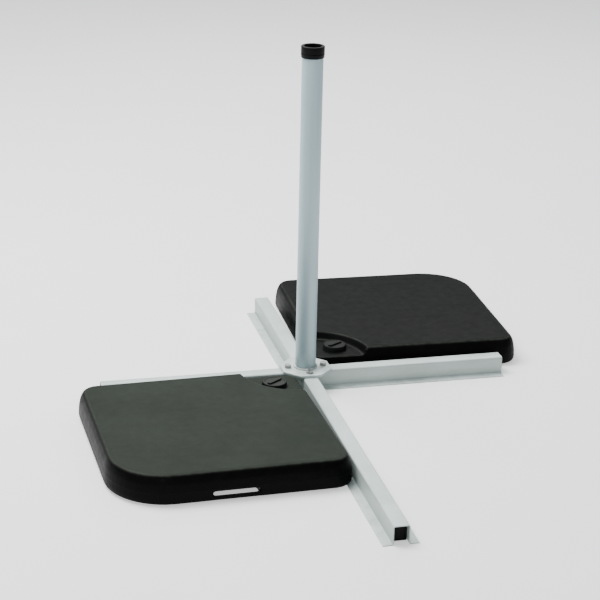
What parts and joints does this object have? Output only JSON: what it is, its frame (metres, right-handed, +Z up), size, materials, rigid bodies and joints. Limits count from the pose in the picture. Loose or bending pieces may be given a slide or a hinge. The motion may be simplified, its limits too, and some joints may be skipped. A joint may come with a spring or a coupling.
{
  "type": "parasol base",
  "caption": "Cross-shaped steel floor base for a cantilever parasol, with a bottom mast tube, a swivel ring and fillable ballast tanks that rest between the legs.",
  "frame": {"origin": "middle of the footprint (the box round the legs and tanks) on the floor; the mast axis stands at x -0.002 m, y +0.126 m", "axes": "+Z up along the mast, +Y from the long front leg towards the back leg, +X along the right leg"},
  "size_m": [1.093, 1.3485, 0.81],
  "materials": {
    "cross_steel": "satin pale grey, galvanised and painted",
    "mast_paint": "satin silver-grey paint",
    "zinc_steel": "zinc plated",
    "black_plastic": "moulded, fine texture",
    "black_nylon": "smooth",
    "tank_plastic": "blow-moulded, fine grain",
    "cap_plastic": "moulded, ribbed skirt",
    "seal_rubber": "matte",
    "ballast_sand": "loose sand"
  },
  "bodies": {
    "root": {"long_bar": "cross_steel", "cross_bar": "cross_steel", "foot_plate": "cross_steel", "weld_bead": "cross_steel", "mast_tube": "mast_paint", "mast_collar": "black_plastic", "bearing_liner": "black_nylon", "end_plug_front": "black_plastic", "bolt_front": "zinc_steel", "washer_front": "zinc_steel", "nut_front": "zinc_steel", "end_plug_right": "black_plastic", "bolt_right": "zinc_steel", "washer_right": "zinc_steel", "nut_right": "zinc_steel", "end_plug_back": "black_plastic", "bolt_back": "zinc_steel", "washer_back": "zinc_steel", "nut_back": "zinc_steel", "end_plug_left": "black_plastic", "bolt_left": "zinc_steel", "washer_left": "zinc_steel", "nut_left": "zinc_steel"},
    "swivel": {"swivel_ring": "black_plastic"},
    "front_tank": {"front_tank_shell": "tank_plastic", "front_tank_ballast": "ballast_sand"},
    "front_seal": {"front_cap_seal": "seal_rubber"},
    "front_cap": {"front_cap": "cap_plastic"},
    "back_tank": {"back_tank_shell": "tank_plastic", "back_tank_ballast": "ballast_sand"},
    "back_seal": {"back_cap_seal": "seal_rubber"},
    "back_cap": {"back_cap": "cap_plastic"}
  },
  "joints": [
    {"name": "swivel_turn", "type": "hinge", "parent": "root", "child": "swivel", "pos_m": [-0.002, 0.126, 0.8], "axis": [0, 0, 1], "continuous": true},
    {"name": "front_tank_lift", "type": "slide", "parent": "root", "child": "front_tank", "axis": [0, 0, 1], "range_m": [0, 0.3]},
    {"name": "front_cap_rise", "type": "slide", "parent": "front_tank", "child": "front_seal", "axis": [0, 0, 1], "range_m": [0, 0.0045]},
    {"name": "front_cap_turn", "type": "hinge", "parent": "front_seal", "child": "front_cap", "pos_m": [-0.09836, 0.02829, 0.05], "axis": [0, 0, 1], "range_deg": [0, 541]},
    {"name": "back_tank_lift", "type": "slide", "parent": "root", "child": "back_tank", "axis": [0, 0, 1], "range_m": [0, 0.3]},
    {"name": "back_cap_rise", "type": "slide", "parent": "back_tank", "child": "back_seal", "axis": [0, 0, 1], "range_m": [0, 0.0045]},
    {"name": "back_cap_turn", "type": "hinge", "parent": "back_seal", "child": "back_cap", "pos_m": [0.09366, 0.22418, 0.05], "axis": [0, 0, 1], "range_deg": [0, 541]}
  ],
  "couplings": [
    {"joint": "front_cap_turn", "follows": "front_cap_rise", "rad_per_m": 2094.4},
    {"joint": "back_cap_turn", "follows": "back_cap_rise", "rad_per_m": 2094.4}
  ]
}
